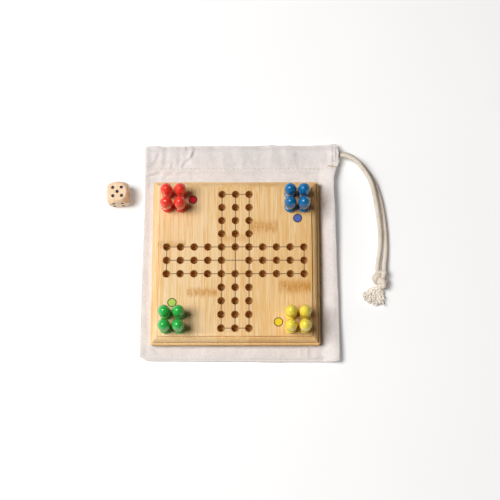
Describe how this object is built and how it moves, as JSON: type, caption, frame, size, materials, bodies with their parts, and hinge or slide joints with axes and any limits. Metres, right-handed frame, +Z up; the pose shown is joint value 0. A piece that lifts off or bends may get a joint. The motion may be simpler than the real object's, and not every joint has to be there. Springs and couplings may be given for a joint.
{
  "type": "peg ludo set",
  "caption": "Square bamboo peg ludo board with moulded edges and drilled track, coloured pegs, a wooden die and a cotton drawstring pouch that it lies on.",
  "frame": {"origin": "middle of the board's hole grid, on the table under the pouch", "axes": "+X to the player's right, +Y away from the player, +Z up out of the board's playing face"},
  "size_m": [0.2084, 0.1619, 0.0334],
  "materials": {
    "bamboo": "satin varnish over side-pressed bamboo strips",
    "red_lacquer": "gloss lacquer on a turned wooden peg",
    "blue_lacquer": "gloss lacquer on a turned wooden peg",
    "green_lacquer": "gloss lacquer on a turned wooden peg",
    "yellow_lacquer": "gloss lacquer on a turned wooden peg",
    "die_wood": "tumbled and waxed, with painted pips",
    "cotton_cloth": "plain-woven unbleached cotton",
    "cotton_cord": "soft braided cotton cord"
  },
  "bodies": {
    "pouch": {"pouch": "cotton_cloth", "drawstring_channel_run": "cotton_cord", "drawstring_front_strand": "cotton_cord", "drawstring_back_strand": "cotton_cord", "drawstring_knot": "cotton_cord", "drawstring_tassel": "cotton_cord"},
    "board": {"board": "bamboo"},
    "die": {"die": "die_wood"},
    "peg_red_1": {"peg_red_1": "red_lacquer"},
    "peg_red_2": {"peg_red_2": "red_lacquer"},
    "peg_red_3": {"peg_red_3": "red_lacquer"},
    "peg_red_4": {"peg_red_4": "red_lacquer"},
    "peg_blue_1": {"peg_blue_1": "blue_lacquer"},
    "peg_blue_2": {"peg_blue_2": "blue_lacquer"},
    "peg_blue_3": {"peg_blue_3": "blue_lacquer"},
    "peg_blue_4": {"peg_blue_4": "blue_lacquer"},
    "peg_green_1": {"peg_green_1": "green_lacquer"},
    "peg_green_2": {"peg_green_2": "green_lacquer"},
    "peg_green_3": {"peg_green_3": "green_lacquer"},
    "peg_green_4": {"peg_green_4": "green_lacquer"},
    "peg_yellow_1": {"peg_yellow_1": "yellow_lacquer"},
    "peg_yellow_2": {"peg_yellow_2": "yellow_lacquer"},
    "peg_yellow_3": {"peg_yellow_3": "yellow_lacquer"},
    "peg_yellow_4": {"peg_yellow_4": "yellow_lacquer"}
  },
  "joints": [
    {"name": "board_lift", "type": "slide", "parent": "pouch", "child": "board", "axis": [0, 0, 1], "range_m": [0, 0.04]},
    {"name": "die_lift", "type": "slide", "parent": "pouch", "child": "die", "axis": [0, 0, 1], "range_m": [0, 0.04]},
    {"name": "peg_red_1_lift", "type": "slide", "parent": "board", "child": "peg_red_1", "axis": [0, 0, 1], "range_m": [0, 0.03]},
    {"name": "peg_red_2_lift", "type": "slide", "parent": "board", "child": "peg_red_2", "axis": [0, 0, 1], "range_m": [0, 0.03]},
    {"name": "peg_red_3_lift", "type": "slide", "parent": "board", "child": "peg_red_3", "axis": [0, 0, 1], "range_m": [0, 0.03]},
    {"name": "peg_red_4_lift", "type": "slide", "parent": "board", "child": "peg_red_4", "axis": [0, 0, 1], "range_m": [0, 0.03]},
    {"name": "peg_blue_1_lift", "type": "slide", "parent": "board", "child": "peg_blue_1", "axis": [0, 0, 1], "range_m": [0, 0.03]},
    {"name": "peg_blue_2_lift", "type": "slide", "parent": "board", "child": "peg_blue_2", "axis": [0, 0, 1], "range_m": [0, 0.03]},
    {"name": "peg_blue_3_lift", "type": "slide", "parent": "board", "child": "peg_blue_3", "axis": [0, 0, 1], "range_m": [0, 0.03]},
    {"name": "peg_blue_4_lift", "type": "slide", "parent": "board", "child": "peg_blue_4", "axis": [0, 0, 1], "range_m": [0, 0.03]},
    {"name": "peg_green_1_lift", "type": "slide", "parent": "board", "child": "peg_green_1", "axis": [0, 0, 1], "range_m": [0, 0.03]},
    {"name": "peg_green_2_lift", "type": "slide", "parent": "board", "child": "peg_green_2", "axis": [0, 0, 1], "range_m": [0, 0.03]},
    {"name": "peg_green_3_lift", "type": "slide", "parent": "board", "child": "peg_green_3", "axis": [0, 0, 1], "range_m": [0, 0.03]},
    {"name": "peg_green_4_lift", "type": "slide", "parent": "board", "child": "peg_green_4", "axis": [0, 0, 1], "range_m": [0, 0.03]},
    {"name": "peg_yellow_1_lift", "type": "slide", "parent": "board", "child": "peg_yellow_1", "axis": [0, 0, 1], "range_m": [0, 0.03]},
    {"name": "peg_yellow_2_lift", "type": "slide", "parent": "board", "child": "peg_yellow_2", "axis": [0, 0, 1], "range_m": [0, 0.03]},
    {"name": "peg_yellow_3_lift", "type": "slide", "parent": "board", "child": "peg_yellow_3", "axis": [0, 0, 1], "range_m": [0, 0.03]},
    {"name": "peg_yellow_4_lift", "type": "slide", "parent": "board", "child": "peg_yellow_4", "axis": [0, 0, 1], "range_m": [0, 0.03]}
  ]
}
